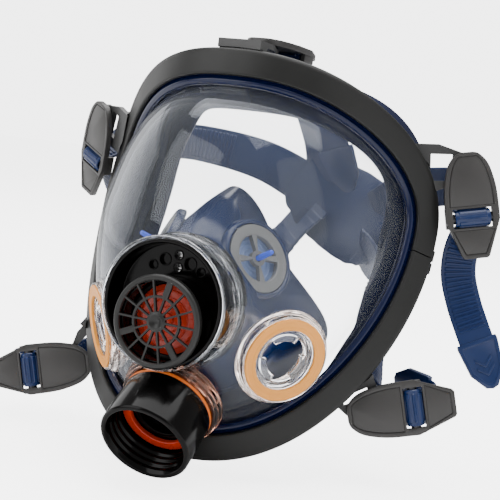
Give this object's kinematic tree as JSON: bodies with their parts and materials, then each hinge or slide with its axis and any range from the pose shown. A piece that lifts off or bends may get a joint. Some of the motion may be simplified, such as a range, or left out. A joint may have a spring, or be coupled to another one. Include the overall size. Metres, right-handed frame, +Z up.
{
  "type": "full-face respirator",
  "caption": "Full-face respirator: clear domed visor in a black rim, blue rubber seal and nose cup, round canister port, exhalation valve, side inlets and head harness.",
  "frame": {"origin": "middle of the face opening, on the mask's plane of symmetry", "axes": "+Z up, the visor faces -Y, +X is the wearer's left"},
  "size_m": [0.2699, 0.2011, 0.2177],
  "materials": {
    "clear_visor": "clear polycarbonate, polished",
    "rim_black": "satin black",
    "gloss_black": "glossy black",
    "grille_black": "satin black",
    "buckle_grey": "satin charcoal",
    "blue_rubber": "smooth, slightly glossy navy blue",
    "seat_grey": "satin warm grey",
    "valve_blue": "smooth bluish silicone",
    "orange_rubber": "smooth orange",
    "red_silicone": "smooth red",
    "silver_film": "smooth metallised film",
    "steel": "plain"
  },
  "bodies": {
    "root": {"visor": "clear_visor", "rim_frame_upper": "rim_black", "rim_frame_lower": "rim_black", "rim_screw_left": "steel", "rim_screw_right": "steel", "rim_nut_left": "steel", "rim_nut_right": "steel", "face_seal": "blue_rubber", "nose_cup": "blue_rubber", "inhalation_seat_left": "seat_grey", "inhalation_seat_right": "seat_grey", "front_housing": "gloss_black", "housing_clamp_ring": "gloss_black", "speech_diaphragm": "silver_film", "diaphragm_retainer": "gloss_black", "exhalation_seat": "gloss_black", "exhalation_grille": "grille_black", "canister_port": "gloss_black", "port_outer_gasket": "orange_rubber", "port_inner_gasket": "red_silicone", "port_valve_seat": "seat_grey", "inlet_gasket_left": "orange_rubber", "inlet_gasket_right": "orange_rubber", "inlet_insert_left": "clear_visor", "inlet_insert_right": "clear_visor", "head_harness": "blue_rubber", "strap_anchor_top": "rim_black", "strap_anchor_upper_left": "rim_black", "strap_anchor_upper_right": "rim_black", "strap_anchor_lower_left": "rim_black", "strap_anchor_lower_right": "rim_black"},
    "buckle_top": {"buckle_top": "buckle_grey", "buckle_bar_top": "steel", "buckle_rivet_top": "rim_black", "strap_end_top": "blue_rubber"},
    "buckle_upper_left": {"buckle_upper_left": "buckle_grey", "buckle_bar_upper_left": "steel", "buckle_rivet_upper_left": "rim_black", "strap_end_upper_left": "blue_rubber"},
    "buckle_upper_right": {"buckle_upper_right": "buckle_grey", "buckle_bar_upper_right": "steel", "buckle_rivet_upper_right": "rim_black", "strap_end_upper_right": "blue_rubber"},
    "buckle_lower_left": {"buckle_lower_left": "buckle_grey", "buckle_bar_lower_left": "steel", "buckle_rivet_lower_left": "rim_black", "strap_end_lower_left": "blue_rubber"},
    "buckle_lower_right": {"buckle_lower_right": "buckle_grey", "buckle_bar_lower_right": "steel", "buckle_rivet_lower_right": "rim_black", "strap_end_lower_right": "blue_rubber"},
    "exhalation_valve": {"exhalation_valve": "red_silicone"},
    "inhalation_valve_left": {"inhalation_valve_left": "valve_blue"},
    "inhalation_valve_right": {"inhalation_valve_right": "valve_blue"},
    "port_valve": {"port_valve": "valve_blue"}
  },
  "joints": [
    {"name": "buckle_swivel_top", "type": "hinge", "parent": "root", "child": "buckle_top", "pos_m": [0.002, -0.003, 0.1045], "axis": [0, 0.0499, 0.9988], "range_deg": [-20, 20]},
    {"name": "buckle_swivel_upper_left", "type": "hinge", "parent": "root", "child": "buckle_upper_left", "pos_m": [0.107, 0.033, 0.055], "axis": [0.4011, -0.9125, 0.0802], "range_deg": [-4, 40]},
    {"name": "buckle_swivel_upper_right", "type": "hinge", "parent": "root", "child": "buckle_upper_right", "pos_m": [-0.104, 0.027, 0.06], "axis": [-0.5472, -0.8309, -0.1013], "range_deg": [-40, 0]},
    {"name": "buckle_swivel_lower_left", "type": "hinge", "parent": "root", "child": "buckle_lower_left", "pos_m": [0.0785, -0.0035, -0.0745], "axis": [0.37, -0.9251, 0.085], "range_deg": [-35, 18]},
    {"name": "buckle_swivel_lower_right", "type": "hinge", "parent": "root", "child": "buckle_lower_right", "pos_m": [-0.088, -0.004, -0.078], "axis": [0.3058, -0.9481, 0.0867], "range_deg": [-35, 35]},
    {"name": "exhalation_valve_lift", "type": "slide", "parent": "root", "child": "exhalation_valve", "axis": [0, -1, 0], "range_m": [0, 0.0016], "stiffness_N_per_m": 30, "springref_m": -0.001},
    {"name": "inhalation_valve_left_lift", "type": "slide", "parent": "root", "child": "inhalation_valve_left", "axis": [-0.7995, 0.4197, -0.4297], "range_m": [0, 0.0015], "stiffness_N_per_m": 30, "springref_m": -0.001},
    {"name": "inhalation_valve_right_lift", "type": "slide", "parent": "root", "child": "inhalation_valve_right", "axis": [0.7995, 0.4197, -0.4297], "range_m": [0, 0.0015], "stiffness_N_per_m": 30, "springref_m": -0.001},
    {"name": "port_valve_lift", "type": "slide", "parent": "root", "child": "port_valve", "axis": [0, 0.831, 0.5563], "range_m": [0, 0.0015], "stiffness_N_per_m": 30, "springref_m": -0.001}
  ]
}
